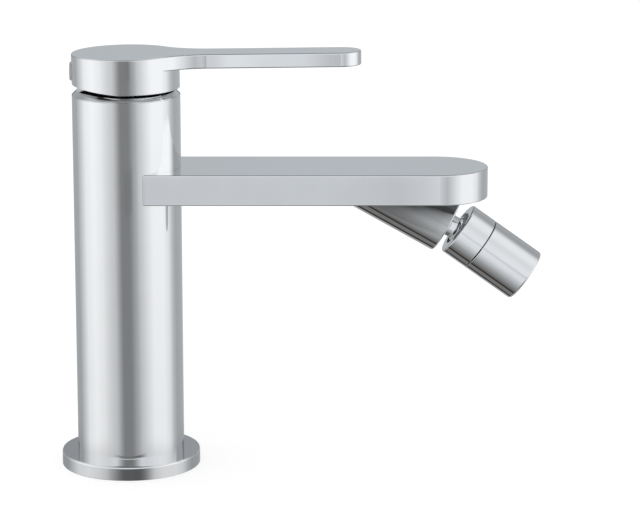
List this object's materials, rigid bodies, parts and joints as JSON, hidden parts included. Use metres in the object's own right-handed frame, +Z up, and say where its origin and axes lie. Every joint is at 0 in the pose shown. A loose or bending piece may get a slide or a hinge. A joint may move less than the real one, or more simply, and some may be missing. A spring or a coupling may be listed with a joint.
{
  "type": "bidet mixer",
  "caption": "Single-lever bidet mixer with an upright round body, a flat straight spout, a swivelling ball-jointed aerator and a lever that lifts for flow and turns for temperature.",
  "frame": {"origin": "centre of the foot, on the deck it stands on", "axes": "+Z up along the body, +X along the spout towards its tip, +Y to the left of someone looking along the spout"},
  "size_m": [0.1798, 0.052, 0.1574],
  "materials": {
    "chrome": "polished chrome plate",
    "brass": "machined",
    "steel": "turned stainless steel",
    "black_rubber": "matte",
    "white_plastic": "moulded",
    "grey_plastic": "moulded",
    "plug_plastic": "smooth moulded",
    "ceramic": "lapped"
  },
  "bodies": {
    "mixer": {"mixer_body": "chrome", "base_flange": "chrome", "base_seal": "black_rubber", "spout": "chrome", "trim_ring": "chrome", "retaining_nut": "brass", "cartridge_base": "white_plastic", "cartridge_housing": "white_plastic", "hot_base_seal": "black_rubber", "cold_base_seal": "black_rubber", "outlet_base_seal": "black_rubber", "hot_disc_seal": "black_rubber", "cold_disc_seal": "black_rubber", "outlet_disc_seal": "black_rubber", "fixed_disc": "ceramic", "stud_seal": "black_rubber", "ball_stud": "chrome"},
    "rotor": {"cartridge_rotor": "grey_plastic", "pivot_pin": "steel"},
    "lever": {"lever_handle": "chrome", "lever_stem": "steel", "grub_screw": "steel", "screw_cover": "plug_plastic"},
    "disc": {"moving_disc": "ceramic", "disc_carrier": "grey_plastic"},
    "swivel_ring": {"slip_ring": "grey_plastic"},
    "aerator": {"swivel_socket": "chrome", "ball_seal": "black_rubber", "gland_ring": "brass", "aerator_housing": "chrome", "aerator_washer": "black_rubber", "aerator_screen": "steel", "aerator_insert": "white_plastic"}
  },
  "joints": [
    {"name": "temperature_turn", "type": "hinge", "parent": "mixer", "child": "rotor", "pos_m": [0, 0, 0.1309], "axis": [0, 0, 1], "range_deg": [-50, 50]},
    {"name": "flow_lift", "type": "hinge", "parent": "rotor", "child": "lever", "pos_m": [0, 0, 0.1309], "axis": [0, -1, 0], "range_deg": [0, 20]},
    {"name": "disc_slide", "type": "slide", "parent": "rotor", "child": "disc", "axis": [1, 0, 0], "range_m": [0, 0.0017]},
    {"name": "aerator_turn", "type": "hinge", "parent": "mixer", "child": "swivel_ring", "pos_m": [0.12595, 0, 0.08805], "axis": [0.8712, 0, -0.4909], "continuous": true},
    {"name": "aerator_tilt", "type": "hinge", "parent": "swivel_ring", "child": "aerator", "pos_m": [0.12595, 0, 0.08805], "axis": [0, -1, 0], "range_deg": [-9.8, 22.2]}
  ],
  "couplings": [
    {"joint": "disc_slide", "follows": "flow_lift", "m_per_rad": 0.0048}
  ]
}
